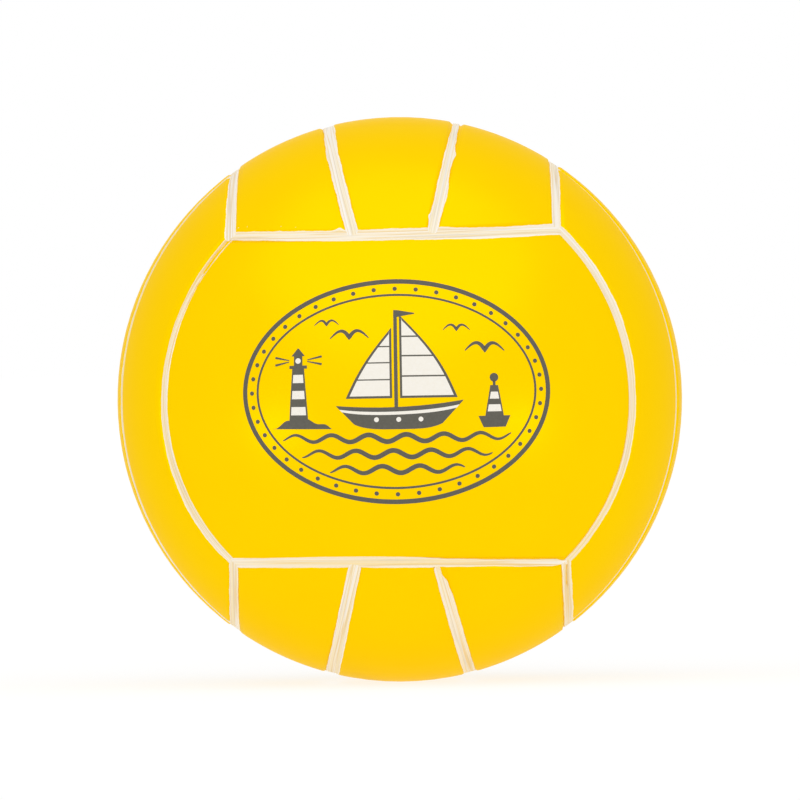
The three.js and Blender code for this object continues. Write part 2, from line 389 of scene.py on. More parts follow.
def arc(centre_radius, centre_depth, radius, start, stop, steps):
    """Points of a profile on an arc, given by its centre, radius and first and last angle in degrees."""
    angles = np.radians(np.linspace(start, stop, steps))
    aside, up = radius * np.cos(angles), radius * np.sin(angles)
    return np.stack([centre_radius + aside, centre_depth + up], axis=1)


def pocket_profile():
    """Radius from the valve's axis and height along it, from the lip in to the far pole of the inside."""
    head = VALVE_HEAD_DIAMETER / 2 + VALVE_CLEARANCE
    seat = BALL_RADIUS - VALVE_HEAD_THICKNESS - VALVE_CLEARANCE
    stem = VALVE_STEM_DIAMETER / 2 + VALVE_CLEARANCE
    boss_end = BALL_RADIUS - BOSS_LENGTH
    taper = (VALVE_STEM_DIAMETER - VALVE_TIP_DIAMETER) / 2 / (VALVE_LENGTH - VALVE_HEAD_THICKNESS)
    bore_end = stem - taper * (seat - boss_end)
    lip_height = math.sqrt(BALL_RADIUS**2 - (head + LIP_ROUND) ** 2) - LIP_ROUND
    lip = arc(head + LIP_ROUND, lip_height, LIP_ROUND, 90, 180, steps=6)
    bore = np.linspace((stem, seat), (bore_end, boss_end), num=6)
    boss_tip = VALVE_TIP_DIAMETER / 2 + VALVE_CLEARANCE + BOSS_TIP_WALL
    boss_foot = head + BOSS_WALL
    foot_height = BALL_RADIUS - WALL - BOSS_FILLET
    fillet = arc(boss_foot + BOSS_FILLET, foot_height, BOSS_FILLET, 180, 90, steps=24)
    inside = BALL_RADIUS - WALL
    fillet = fillet[np.hypot(fillet[:, 0], fillet[:, 1]) < inside]
    start = math.degrees(math.atan2(fillet[-1, 1], fillet[-1, 0]))
    sphere = arc(0, 0, inside, start, -90, steps=48)[1:]
    return np.concatenate([lip, [(head, seat)], bore, [(boss_tip, boss_end)], fillet, sphere])


def turned(profile, angles):
    """A profile turned about the Y axis: one row of points for each angle from +X towards +Z."""
    spread = swung(DIRECTIONS["right"], DIRECTIONS["top"], angles)
    return profile[None, :, :1] * spread[:, None] + profile[None, :, 1:] * DIRECTIONS["back"]


print("pocket profile", len(pocket_profile()), "points")

# %% [markdown]
# The window is the smallest block of the back's grid that holds every point near the valve's axis. A few
# rings lead from its square edge to the round lip.

# %% Valve well
WINDOW_RADIUS = 7.0  # the grid lines that come nearer to the valve's axis than this make way for the lip
LIP_RINGS = 7


def window_of(grid):
    """Rows and columns of the smallest window in a grid that holds all points near the valve's axis."""
    near = np.hypot(grid[..., 0], grid[..., 2]) * BALL_RADIUS < WINDOW_RADIUS
    rows = np.flatnonzero(near.any(axis=1))[[0, -1]] + (-1, 1)
    columns = np.flatnonzero(near.any(axis=0))[[0, -1]] + (-1, 1)
    return *rows, *columns


def window_edge(grid):
    """The points round the window, one after the other."""
    low, high, left, right = window_of(grid)
    runs = [
        grid[low:high, left],
        grid[high, left:right],
        grid[high:low:-1, right],
        grid[low, right:left:-1],
    ]
    return np.concatenate(runs)


edge = as_moulded(window_edge(side_grid("back"))) * BALL_RADIUS
pocket = turned(pocket_profile(), np.arctan2(edge[:, 2], edge[:, 0]))
blend = np.linspace(0, 1, LIP_RINGS)[None, :, None]
ring = edge[:, None] * (1 - blend) + pocket[:, :1] * blend
ring *= BALL_RADIUS / np.linalg.norm(ring, axis=-1, keepdims=True)
ring[:, -1] = pocket[:, 0]
valve_well = np.concatenate([ring, pocket[:, 1:]], axis=1)
print("valve well", valve_well.shape[:2], "bore mouth", VALVE_STEM_DIAMETER + 2 * VALVE_CLEARANCE, "mm")

# %% [markdown]
# Every piece is put into Blender by the same few lines: points in mm become metres, the shared points of
# neighbouring patches are merged, the piece is hung on the body that carries it and given its finish, and
# the CAD nodes that it stands for are hidden.

# %% Mesh maker
MERGE_DISTANCE = 0.002  # mm
SHARP_ANGLE = 40  # degrees between two faces from which their edge stays sharp


def joined(patches):
    """One array of points and one of faces, from grids of points with the faces of each."""
    points, faces, count = [], [], 0
    for grid, own_faces in patches:
        points.append(grid.reshape(-1, 3))
        faces.append(own_faces.reshape(-1, 4) + count)
        count += len(points[-1])
    return np.concatenate(points), np.concatenate(faces)


def make_piece(name, points, faces, body, nodes, material, merge=False):
    """A mesh object at the origin from points in mm and an array of faces."""
    mesh = bpy.data.meshes.new(name)
    mesh.from_pydata((points.reshape(-1, 3) * MM).tolist(), [], faces.reshape(-1, 4).tolist())
    if merge:
        cleaned = bmesh.new()
        cleaned.from_mesh(mesh)
        bmesh.ops.remove_doubles(cleaned, verts=cleaned.verts, dist=MERGE_DISTANCE * MM)
        cleaned.to_mesh(mesh)
        cleaned.free()
    mesh.validate()
    mesh.shade_smooth()
    mesh.set_sharp_from_angle(angle=math.radians(SHARP_ANGLE))
    mesh.materials.append(material)
    piece = add_object(name, mesh)
    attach(piece, body)
    if nodes:
        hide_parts(*nodes)
    return piece


print("points closer than", MERGE_DISTANCE, "mm become one")

# %% [markdown]
# Each material is a small tree of nodes. Two helpers do for all of them: one turns a colour written as
# sRGB hex into the linear values that Blender works in, and one adds a node with its settings and its
# links.

# %% Material helpers


def linear(hex_colour):
    """An sRGB hex colour as linear red, green, blue and alpha."""
    channels = np.array([int(hex_colour[i : i + 2], 16) for i in (1, 3, 5)]) / 255
    lifted = np.where(channels <= 0.04045, channels / 12.92, ((channels + 0.055) / 1.055) ** 2.4)
    return (*lifted, 1.0)


def add_node(tree, kind, inputs=None, **settings):
    """A new node: settings are its own properties, inputs are values or sockets, by name or number."""
    made = tree.nodes.new(kind)
    for key, value in settings.items():
        setattr(made, key, value)
    for key, value in (inputs or {}).items():
        if isinstance(value, bpy.types.NodeSocket):
            tree.links.new(value, made.inputs[key])
        else:
            made.inputs[key].default_value = value
    return made


def new_material(name):
    """An empty node material and its tree."""
    material = bpy.data.materials.new(name)
    material.use_nodes = True
    material.node_tree.nodes.clear()
    return material, material.node_tree


print("middle grey is", round(linear("#808080")[0], 3), "in linear light")

# %% [markdown]
# The skin is soft PVC, cast in a closed mould that spins as it heats. That gives a deep, even yellow with
# a soft sheen, hardly any grain, and pigment that is not quite evenly spread. The mottling is drawn about
# 14 mm wide, and the grain of the mould about 0.8 mm wide, coarser than the real one so that it shows. A
# plastic's usual reflection is white and would leave a pale rim round the ball. The real highlights stay
# yellow right up to the rim, so the white reflection is nearly off, and a small share of Metallic
# reflects in the skin's colour.

# %% Skin material
PIGMENT_PATCH = 14.0
MOULD_GRAIN = 0.8
MOULD_GRAIN_DEPTH = 0.004

vinyl, tree = new_material("soft_pvc_moulded_yellow")
place = add_node(tree, "ShaderNodeTexCoord").outputs["Object"]
patch = {"Vector": place, "Scale": 1 / (PIGMENT_PATCH * MM), "Detail": 2.0}
pigment = add_node(tree, "ShaderNodeTexNoise", patch)
grain = {"Vector": place, "Scale": 1 / (MOULD_GRAIN * MM), "Detail": 1.0}
pebbles = add_node(tree, "ShaderNodeTexNoise", grain)
colours = {0: pigment.outputs["Fac"], 6: linear("#FFD000"), 7: linear("#FFD400")}
yellow = add_node(tree, "ShaderNodeMix", colours, data_type="RGBA")
sheen_range = {"Value": pebbles.outputs["Fac"], "To Min": 0.28, "To Max": 0.36}
roughness = add_node(tree, "ShaderNodeMapRange", sheen_range)
relief = {"Height": pebbles.outputs["Fac"], "Strength": 1.0, "Distance": MOULD_GRAIN_DEPTH * MM}
bump = add_node(tree, "ShaderNodeBump", relief)
surface = {
    "Base Color": yellow.outputs[2],
    "Roughness": roughness.outputs["Result"],
    "Metallic": 0.2,
    "IOR": 1.53,
    "Specular IOR Level": 0.003,
    "Specular Tint": linear("#FFD840"),
    "Normal": bump.outputs["Normal"],
}
shader = add_node(tree, "ShaderNodeBsdfPrincipled", surface)
add_node(tree, "ShaderNodeOutputMaterial", {"Surface": shader.outputs["BSDF"]})
print("made", vinyl.name)

# %% [markdown]
# The skin is one closed piece: six sides pressed in by the depth of the grooves, and the valve well in
# the window of the back. Points that two sides share are merged, so no seam can open between them.

# %% Ball skin
patches = []
for side in STRIPS:
    grid = side_grid(side)
    faces = grid_faces(grid)
    if side == "back":
        low, high, left, right = window_of(grid)
        kept = np.ones(faces.shape[:2], bool)
        kept[low:high, left:right] = False
        faces = faces[kept]
    pressed_in = as_moulded(grid) * (BALL_RADIUS - groove_depth(grid))[..., None]
    patches.append((pressed_in, faces))
patches.append((valve_well, grid_faces(valve_well, around=True)))
skin_points, skin_faces = joined(patches)
skin = make_piece(
    "ball_skin_moulded", skin_points, skin_faces, "ball", ["ball_skin"], vinyl, merge=True
)
print("ball skin", len(skin.data.vertices), "points,", len(skin.data.polygons), "faces")

# %% [markdown]
# The paint in the grooves is an off-white vinyl paint, laid on with a small brush in one stroke per
# groove. It gives the eye three things: soft bands of cream where the coat is thin, fine lines that
# single bristles drew along the stroke, and whiter edges where the paint was pushed aside. Each stroke
# carries its own map, how far along and how far across a point is in mm, so that the lines bend with the
# seam. The fine lines are the places where a stretched noise passes through its middle value; they are
# about 0.2 mm wide, close to a pixel.

# %% Paint material
BAND_SPACING = 0.8
BAND_LENGTH = 70.0
BRISTLE_SPACING = 0.75
BRISTLE_LENGTH = 70.0
BRISTLE_RELIEF = 0.015
# The coat, where it is thin, its fine lines and its edges, each for a tone of 0 and of 1. A higher tone is
# creamier and a little darker, and the strokes lower on the ball mostly have the higher tones
PAINT_SHADES = (
    ("#FAF5EE", "#F9EACF"),
    ("#F7E9C6", "#FAE098"),
    ("#EBD09E", "#F1CC7E"),
    ("#FCF9F4", "#FAF0DD"),
)

paint, tree = new_material("vinyl_paint_brushed_off_white")
stroke = add_node(tree, "ShaderNodeAttribute", attribute_name="stroke").outputs["Vector"]
tone = add_node(tree, "ShaderNodeAttribute", attribute_name="tone").outputs["Fac"]
across = add_node(tree, "ShaderNodeSeparateXYZ", {"Vector": stroke}).outputs["Z"]


def stretched_noise(length, spacing, start, detail):
    """Noise drawn out along the stroke: one step of it takes a length along and a spacing across."""
    scale = {"Vector": stroke, "Location": (start, 0, 0), "Scale": (1 / length, 1 / spacing, 0.0)}
    drawn_out = add_node(tree, "ShaderNodeMapping", scale).outputs["Vector"]
    grain = {"Vector": drawn_out, "Scale": 1.0, "Detail": detail}
    return add_node(tree, "ShaderNodeTexNoise", grain).outputs["Fac"]


def bristle_lines(start, width, strength):
    """Thin lines: full strength where the noise is at its middle value, and none at a width from it."""
    noise = stretched_noise(BRISTLE_LENGTH, BRISTLE_SPACING, start, detail=1.0)
    beside = add_node(tree, "ShaderNodeMath", {0: noise, 1: 0.5}, operation="SUBTRACT")
    beside = add_node(tree, "ShaderNodeMath", {0: beside.outputs[0]}, operation="ABSOLUTE")
    fade = {"Value": beside.outputs[0], "From Max": width, "To Min": strength, "To Max": 0.0}
    return add_node(tree, "ShaderNodeMapRange", fade, interpolation_type="SMOOTHSTEP").outputs["Result"]


bands = stretched_noise(BAND_LENGTH, BAND_SPACING, start=7.0, detail=2.0)
thin = {"Value": bands, "From Min": 0.36, "From Max": 0.66, "To Max": 0.85}
thin = add_node(tree, "ShaderNodeMapRange", thin, interpolation_type="SMOOTHSTEP").outputs["Result"]
beside = add_node(tree, "ShaderNodeMath", {0: across}, operation="ABSOLUTE").outputs[0]
pushed = {"Value": beside, "From Min": 0.62, "From Max": 0.92, "To Max": 0.65}
pushed = add_node(tree, "ShaderNodeMapRange", pushed, interpolation_type="SMOOTHSTEP").outputs["Result"]
shades = []
for cool, warm in PAINT_SHADES:
    hues = {0: tone, 6: linear(cool), 7: linear(warm)}
    shades.append(add_node(tree, "ShaderNodeMix", hues, data_type="RGBA").outputs[2])
colour, cream, tan, white = shades
coats = (
    (thin, cream),
    (bristle_lines(start=3.0, width=0.06, strength=0.85), tan),
    (bristle_lines(start=61.0, width=0.03, strength=0.4), linear("#CFC7BE")),
    (pushed, white),
)
for share, shade in coats:
    cover = {0: share, 6: colour, 7: shade}
    colour = add_node(tree, "ShaderNodeMix", cover, data_type="RGBA").outputs[2]
relief = {"Height": bands, "Strength": 0.6, "Distance": BRISTLE_RELIEF * MM}
bump = add_node(tree, "ShaderNodeBump", relief)
surface = {
    "Base Color": colour,
    "Roughness": 0.6,
    "IOR": 1.48,
    "Specular IOR Level": 0.15,
    "Normal": bump.outputs["Normal"],
}
shader = add_node(tree, "ShaderNodeBsdfPrincipled", surface)
add_node(tree, "ShaderNodeOutputMaterial", {"Surface": shader.outputs["BSDF"]})
print("made", paint.name)

# %% [markdown]
# A stroke of paint is a thin film in its groove. It is worked out as a grid over the seam: lengths along
# it, and places across it from one wavering edge to the other. Wet paint runs together, so it fills the
# bottom of the groove and leaves the shoulders bare. The film's edges dip under the skin, and so the edge
# of the paint is where the two surfaces cross. Strokes that were painted later lie a little higher and
# pass over the others.

# %% Film of one stroke
STROKE_STEP = 0.4  # mm between the rows along a stroke
STROKE_ENDS = np.array([0, 0.04, 0.1, 0.18, 0.3, 0.45, 0.65])  # mm from its ends to the closer rows
EVEN_ROWS_FROM = 1.0  # mm from its ends to the even rows
STROKE_LINES = 21  # points across the top of a stroke
POOL = 0.5  # the more paint runs together, the smaller this is, in mm
COAT = 0.04  # thickness of the film over the pooled paint
LAYER = 0.03  # how much higher a later layer lies
EDGE_DIP = 0.02  # how far the film's edges lie under its surface
ROOT = 0.06  # how far its underside lies under the skin
THINNEST = 0.01  # of the film, where it is bare
NARROWEST = 0.15  # from a stroke's middle to its edge
END_DRAW_IN = 0.85  # how round the ends are: 0 is square and 1 is pointed
END_SLOPE = 0.5  # length over which the film rises from its ends
EDGE_POWER = 6  # the higher, the flatter the film is up to its edges
GAP_POWER = 4  # the higher, the sharper the ends of a gap are
GAP_CUT = 2 * GROOVE_DEPTH  # deep enough to bare the skin
MAP_SPACING = 200.0  # between the maps of two strokes, so that no two show the same bristle lines
# Wavelength and size of the waves along a stroke's edges
WOBBLES = ((11.0, 0.045), (4.3, 0.03), (1.5, 0.02), (0.8, 0.015))


def wavy(rng, lengths):
    """A hand's unsteadiness along a stroke, in mm: a sum of sine waves with random phases."""
    phases = rng.uniform(0, 2 * math.pi, len(WOBBLES))
    waves = [size * np.sin(2 * math.pi * lengths / wave + p) for (wave, size), p in zip(WOBBLES, phases)]
    return np.sum(waves, axis=0)


def along_stroke(lengths, values):
    """Values that are given at even steps along a stroke, blended to all its lengths."""
    return np.interp(lengths, np.linspace(lengths[0], lengths[-1], len(values)), values)


def film_faces(rows, lines, around=False):
    """Faces of a film: each row is the top from edge to edge and the underside back. The rows make a
    tube, which is closed by its ends, or by meeting itself where the film goes around."""
    loop = 2 * lines
    index = np.arange(rows * loop).reshape(rows, loop)
    following = np.roll(index, -1, axis=1)
    if around:
        index = np.concatenate([index, index[:1]])
        following = np.concatenate([following, following[:1]])
    tube = np.stack([index[:-1], index[1:], following[1:], following[:-1]], axis=-1).reshape(-1, 4)
    top = np.arange(lines - 1)
    cap = np.stack([top, top + 1, loop - 2 - top, loop - 1 - top], axis=-1)
    ends = [] if around else [cap, cap[:, ::-1] + (rows - 1) * loop]
    return np.concatenate([tube, *ends])


def stroke_edges(plan, lengths, rng):
    """The two edges of a stroke, as offsets from its seam: half the width to each side of its middle
    line, plus the hand's unsteadiness, plus bumps that are bell curves, all drawn in at the rounded
    ends."""
    half = along_stroke(lengths, plan["widths"]) / 2
    middle = along_stroke(lengths, plan["shifts"])
    to_end = np.minimum(lengths - lengths[0], lengths[-1] - lengths)
    drawn_in = np.sqrt(1 - END_DRAW_IN * np.clip(1 - to_end / plan["round"], 0, 1) ** 2)
    edges = []
    for sign in (-1, 1):
        bumps = [
            size * np.exp(-(((lengths - where) / spread) ** 2))
            for where, edge, size, spread in plan["bumps"]
            if edge == sign
        ]
        reach = half + plan["unsteady"] * wavy(rng, lengths) + np.sum(bumps, axis=0)
        edges.append(middle + sign * np.maximum(reach, NARROWEST) * drawn_in)
    return edges


def paint_stroke(name, number, plan):
    """The film over one seam, in mm, by its plan. Its top is the level of the pooled paint plus the coat,
    feathered out at the edges and the ends and cut down at the gaps, and its underside lies in the skin.
    """
    seam = seams[name]
    arc_radius = BALL_RADIUS * math.sin(seam["polar"])
    reach = seam["reach"] * arc_radius
    start, stop = -reach - plan["ends"][0], reach + plan["ends"][1]
    inner = np.arange(start + EVEN_ROWS_FROM, stop - EVEN_ROWS_FROM, STROKE_STEP)
    lengths = np.concatenate([start + STROKE_ENDS, inner, stop - STROKE_ENDS[::-1]])
    low, high = stroke_edges(plan, lengths, np.random.default_rng(number))
    across = np.sin(np.linspace(-1, 1, STROKE_LINES) * math.pi / 2)
    offsets = low[:, None] * (1 - across) / 2 + high[:, None] * (1 + across) / 2
    along = np.broadcast_to(lengths[:, None], offsets.shape)
    points = seam_points(seam, along / arc_radius, offsets)
    depth = groove_depth(points)
    level = BALL_RADIUS - POOL * (1 - np.exp(-depth / POOL))
    to_end = np.minimum(lengths - start, stop - lengths)[:, None]
    feather = np.sqrt(np.clip(1 - across**EDGE_POWER, 0, 1)) * np.sqrt(np.clip(to_end / END_SLOPE, 0, 1))
    top = level - EDGE_DIP + (COAT + LAYER * plan["layer"] + EDGE_DIP) * feather
    for where, beside, half_length, half_width in plan["gaps"]:
        to_its_ends = ((along - where) / half_length) ** GAP_POWER
        to_its_sides = ((offsets - beside) / half_width) ** GAP_POWER
        top = top - GAP_CUT * np.exp(-to_its_ends - to_its_sides)
    under = BALL_RADIUS - depth - ROOT
    top = np.maximum(top, under + THINNEST)
    moulded = as_moulded(points)
    film = np.concatenate([moulded * top[..., None], (moulded * under[..., None])[:, ::-1]], axis=1)
    share_across = np.broadcast_to(across, offsets.shape)
    mapped = np.stack([along + MAP_SPACING * number, offsets, share_across], axis=-1)
    mapped = np.concatenate([mapped, mapped[:, ::-1]], axis=1)
    faces = film_faces(len(lengths), STROKE_LINES)
    piece = make_piece(name + "_paint", film, faces, "ball", [name], paint)
    stroke_map = piece.data.attributes.new("stroke", "FLOAT_VECTOR", "POINT")
    stroke_map.data.foreach_set("vector", mapped.astype(np.float32).ravel())
    tones = np.repeat(along_stroke(lengths, plan["tones"]), 2 * STROKE_LINES).astype(np.float32)
    piece.data.attributes.new("tone", "FLOAT", "POINT").data.foreach_set("value", tones)
    return piece


print("edges waver by up to", round(sum(size for wave, size in WOBBLES), 2), "mm")

# %% [markdown]
# No two strokes are alike. The plans below hold what the photograph shows of each: widths and shifts at
# even steps along it, how far it runs past the ends of its groove, the layer that it lies in, how cream
# it is from 0 to 1, how unsteady its edges are, bumps on its edges (where along, which edge, size,
# spread) and gaps (where along, beside the middle, half length, half width), all in mm. A stroke that
# the photograph doesn't show is a usual one.

# %% Paint strokes
STRIP_LAYER = 3  # strips were painted last
USUAL = {
    "widths": (2.8,),
    "shifts": (0.0,),
    "ends": (0.5, 0.5),
    "round": 0.9,
    "layer": 0,
    "tones": (0.4,),
    "unsteady": 1.0,
    "bumps": (),
    "gaps": (),
}
PLANS = {
    "seam_line_left_front": {
        "widths": (2.1, 2.3, 2.75, 2.85, 2.95, 3.1, 3.25, 3.1, 2.3),
        "shifts": (0.0, 0.2, 0.6, 0.7, 0.5, 0.35, 0.25, 0.05, 0.0),
        "tones": (1.0, 0.7, 0.55, 0.4),
        "gaps": ((-37.5, 0.25, 5.5, 0.45), (-21.0, 1.1, 12.0, 0.28)),
    },
    "seam_line_right_front": {
        "widths": (1.85, 1.9, 2.1, 2.35, 2.45, 2.75, 3.0, 2.85, 2.9),
        "shifts": (-0.35, -0.35, -0.1, 0.0, 0.0),
        "tones": (1.0, 0.85, 0.6, 0.25),
    },
    "seam_line_front_top": {
        "widths": (2.1, 2.3, 2.7, 3.1, 3.2, 3.5, 3.3, 3.2, 3.3),
        "shifts": (0.45, 0.25, 0.0, -0.15, -0.15, -0.25, -0.65, -0.55, -0.3),
        "layer": 1,
        "tones": (0.7, 0.4, 0.1),
        "bumps": ((-28.3, 1, 0.18, 0.9), (-13.0, 1, 0.5, 0.8)),
    },
    "seam_line_front_bottom": {
        "widths": (1.75, 1.95, 1.85, 2.25, 3.2, 3.2, 3.1, 2.75, 2.8),
        "shifts": (0.15, 0.3, 0.3, 0.3, 0.0, -0.15, -0.1, 0.0, -0.1),
        "layer": 1,
        "tones": (0.0, 0.7, 0.9, 0.9, 0.9, 0.9, 0.9, 0.5),
        "unsteady": 0.6,
        "bumps": ((-40.5, -1, -0.35, 1.3), (-40.5, 1, -0.35, 1.3)),
    },
    "seam_line_top_left": {"widths": (3.1, 2.6, 2.0, 2.4, 2.6), "layer": 2, "tones": (0.0,)},
    "seam_line_top_right": {
        "widths": (2.5, 2.3, 2.2, 2.55, 2.4),
        "shifts": (0.0, 0.0, 0.0, 0.1, -0.4),
        "layer": 2,
        "tones": (0.1, 0.2),
    },
    "seam_line_bottom_left": {"widths": (2.4, 2.6, 2.8, 2.5, 2.3), "layer": 2, "tones": (0.35, 0.4, 0.35)},
    "seam_line_bottom_right": {
        "widths": (2.45, 2.4, 2.3, 2.3, 2.4),
        "shifts": (0.15, 0.4, 0.2, 0.0, 0.0),
        "layer": 2,
        "tones": (0.65, 0.7, 0.7),
        "gaps": ((-37.5, 0.2, 4.5, 0.17),),
    },
    "strip_line_top_left": {
        "widths": (2.6, 2.6, 2.7, 2.8, 2.7),
        "shifts": (0.0, 0.0, 0.0, 0.0, 0.3, 0.4, -0.05, 0.05, 0.15),
        "ends": (0.5, 0.2),
        "tones": (0.4, 0.3, 0.1),
        "unsteady": 1.2,
    },
    "strip_line_top_right": {
        "widths": (2.4, 2.35, 2.1, 1.55, 1.5, 1.8, 2.0, 2.2, 2.4),
        "ends": (0.2, 0.5),
        "tones": (0.1, 0.15, 0.25),
        "unsteady": 1.2,
        "bumps": ((-32.3, -1, 0.5, 2.6), (-49.5, -1, 0.5, 4.5), (-56.3, 1, 0.4, 0.9)),
    },
    "strip_line_bottom_left": {
        "widths": (2.8, 2.9, 3.1, 2.9, 2.7),
        "shifts": (-0.2, 0.1, 0.35, 0.3, 0.3, 0.2, 0.0, 0.0, 0.0),
        "ends": (-0.7, 0.5),
        "tones": (0.35, 0.45, 0.5),
        "unsteady": 0.7,
    },
    "strip_line_bottom_right": {
        "widths": (2.6, 2.6, 2.75, 2.75, 2.7),
        "ends": (0.5, -1.2),
        "tones": (0.9, 0.9, 0.7),
        "unsteady": 0.7,
        "bumps": ((61.0, -1, -1.8, 6.5), (54.6, -1, 0.3, 1.2)),
    },
    "strip_line_left_front": {"widths": (2.9,), "tones": (0.8,)},
    "strip_line_right_front": {
        "widths": (0.9, 1.0, 1.0, 1.0, 0.9, 0.6),
        "shifts": (-0.5, 0.5),
        "tones": (0.8,),
    },
}
for number, name in enumerate(seams):
    layer = STRIP_LAYER if name.startswith("strip") else USUAL["layer"]
    paint_stroke(name, number, {**USUAL, "layer": layer, **PLANS.get(name, {})})
print(len(seams), "strokes of paint,", len(PLANS), "of them planned from the photograph")

# %% [markdown]
# A loaded brush spits a little: over the left half of the front's top line lie a few specks of the same
# paint. Each is a flat dome, a quarter of a millimetre wide or less: a profile that is turned about the
# outward direction.

# %% Specks of paint
# Distance along the front's top line, distance over it, and radius, in mm
SPECKS = np.array([(-40.4, 2.5, 0.13), (-37.7, 2.7, 0.08), (-28.0, 2.6, 0.09), (-24.0, 2.3, 0.07)])
SPECK_HEIGHT = 0.02
SPECK_SIDES = 16
SPECK_RINGS = 6


def speck_points(seam, specks):
    """Points of flat domes, of which each has a distance along a seam, one beside it and a radius, in mm:
    the outward direction times the profile's height, plus its radius turned about that direction."""
    dome = np.radians(np.linspace(90, 0, SPECK_RINGS))
    profile = np.stack([np.cos(dome), BALL_RADIUS + SPECK_HEIGHT * np.sin(dome)], axis=1)
    profile = np.concatenate([profile, [(1.0, BALL_RADIUS - ROOT), (0.0, BALL_RADIUS - ROOT)]])
    turns = specks[:, 0] / (BALL_RADIUS * math.sin(seam["polar"]))
    outward = as_moulded(seam_points(seam, turns, specks[:, 1]))
    aside = unit(np.cross(outward, DIRECTIONS["top"]))
    upward = np.cross(aside, outward)
    angles = np.linspace(0, 2 * math.pi, SPECK_SIDES, endpoint=False)
    spread = swung(aside[:, None], upward[:, None], angles)
    reach = specks[:, 2, None, None, None] * profile[:, :1] * spread[:, :, None]
    return reach + outward[:, None, None] * profile[:, 1:]


domes = speck_points(top_seam, SPECKS)
points, faces = joined([(dome, grid_faces(dome, around=True)) for dome in domes])
specks = make_piece("paint_specks", points, faces, "ball", [], paint, merge=True)
print(len(SPECKS), "specks of paint,", len(specks.data.polygons), "faces")

# %% [markdown]
# The front carries a print in two inks. This one is a plain seaside emblem: a small boat with two sails,
# a lighthouse, a buoy, gulls and waves in an oval ring. Screen printing lays a thin film of vinyl ink,
# which looks matt and faintly mottled. Each shape is such a film between two curves of a flat drawing,
# and the drawing is laid on the ball with every distance from the middle of the panel kept.

# %% Ink materials
INK_MOTTLE = 0.6
INK_SHADES = {
    "dark": ("vinyl_ink_screen_printed_anthracite", "#56544C", "#66635A"),
    "light": ("vinyl_ink_screen_printed_off_white", "#EFE9DC", "#F4F0E8"),
}
inks = {}
for kind, (name, first_shade, second_shade) in INK_SHADES.items():
    inks[kind], tree = new_material(name)
    place = add_node(tree, "ShaderNodeTexCoord").outputs["Object"]
    mottle = {"Vector": place, "Scale": 1 / (INK_MOTTLE * MM), "Detail": 2.0}
    cover = add_node(tree, "ShaderNodeTexNoise", mottle).outputs["Fac"]
    colours = {0: cover, 6: linear(first_shade), 7: linear(second_shade)}
    shade = add_node(tree, "ShaderNodeMix", colours, data_type="RGBA").outputs[2]
    surface = {"Base Color": shade, "Roughness": 0.55, "IOR": 1.5, "Specular IOR Level": 0.2}
    shader = add_node(tree, "ShaderNodeBsdfPrincipled", surface)
    add_node(tree, "ShaderNodeOutputMaterial", {"Surface": shader.outputs["BSDF"]})
    print("made", name)

# %% [markdown]
# A film of ink needs two curves with as many points. Straight lines run between matching points, and the
# film's underside lies in the skin so that nothing shows beneath it. The light ink is printed over the
# dark.

# %% Film of ink
PRINT_MIDDLE = (0.0, 2.2)  # mm to the right and up from the middle of the front
INK_HEIGHT = {"dark": 0.025, "light": 0.045}
INK_ROOT = 0.08
INK_LINES = 5  # points across a film
CURVE_STEPS = 41  # points along a curve
ink_films = {"dark": [], "light": []}


def on_front(places):
    """A flat drawing on the ball: x to the right and z up in mm. The distance from the middle of the
    front becomes an arc of the same length, in the same direction."""
    shifted = places + np.array(PRINT_MIDDLE)
    length = np.linalg.norm(shifted, axis=-1, keepdims=True)
    aside = shifted * np.sin(length / BALL_RADIUS) / np.maximum(length, 1e-9)
    return np.stack([aside[..., 0], -np.cos(length[..., 0] / BALL_RADIUS), aside[..., 1]], axis=-1)


def ink(kind, first, second, around=False):
    """Adds a film between two curves, with its top over the skin and its underside in it. Its rows are
    put in the order that makes the top face outwards."""
    shares = np.linspace(0, 1, INK_LINES)[None, :, None]
    points = on_front(first[:, None] * (1 - shares) + second[:, None] * shares)
    middle = len(points) // 2
    along = points[middle + 1, 0] - points[middle, 0]
    sideways = points[middle, -1] - points[middle, 0]
    if np.cross(along, sideways) @ points[middle, 0] > 0:
        points = points[:, ::-1]
    top = points * (BALL_RADIUS + INK_HEIGHT[kind])
    under = points * (BALL_RADIUS - INK_ROOT)
    ink_films[kind].append((np.concatenate([top, under[:, ::-1]], axis=1), around))


def line(start, stop, steps):
    """Points on a straight line of the drawing."""
    return np.linspace(start, stop, steps)


def ellipse(half_width, half_height, steps=160):
    """Points round an ellipse of the drawing, without the first one again."""
    angles = np.linspace(0, 2 * math.pi, steps, endpoint=False)
    return np.stack([half_width * np.cos(angles), half_height * np.sin(angles)], axis=1)


def ribbon(kind, middle, widths):
    """A film of given widths along a curve, half to each side of it, square to the curve's direction."""
    ahead = unit(np.gradient(middle, axis=0))
    beside = np.stack([-ahead[:, 1], ahead[:, 0]], axis=1) * widths[:, None] / 2
    ink(kind, middle - beside, middle + beside)


print("ink stands", INK_HEIGHT, "mm over the skin")

# %% [markdown]
# The ring comes first: two lines with a row of dots between them. A dot is a film between its left and
# its right half, and it stays open by a hair at the top and the bottom, so that no face has an edge
# without length.

# %% Emblem: ring
RING = (36.5, 26.0)  # half width and half height of the outer line, in mm
RING_LINES = ((0.0, 1.1), (3.6, 4.1))  # how far in the ring's two lines start and end
DOT_COUNT = 44
DOT_INSET = 2.35
DOT_RADIUS = 0.5
DOT_OPENING = 80  # degrees over and under the middle at which its two halves end
DOT_STEPS = 13


def dot(kind, centre, radius):
    """A round spot, between its left half circle and its right one."""
    angles = np.radians(np.linspace(-DOT_OPENING, DOT_OPENING, DOT_STEPS))
    half = np.stack([np.cos(angles), np.sin(angles)], axis=1) * radius
    ink(kind, centre + half * (-1, 1), centre + half)


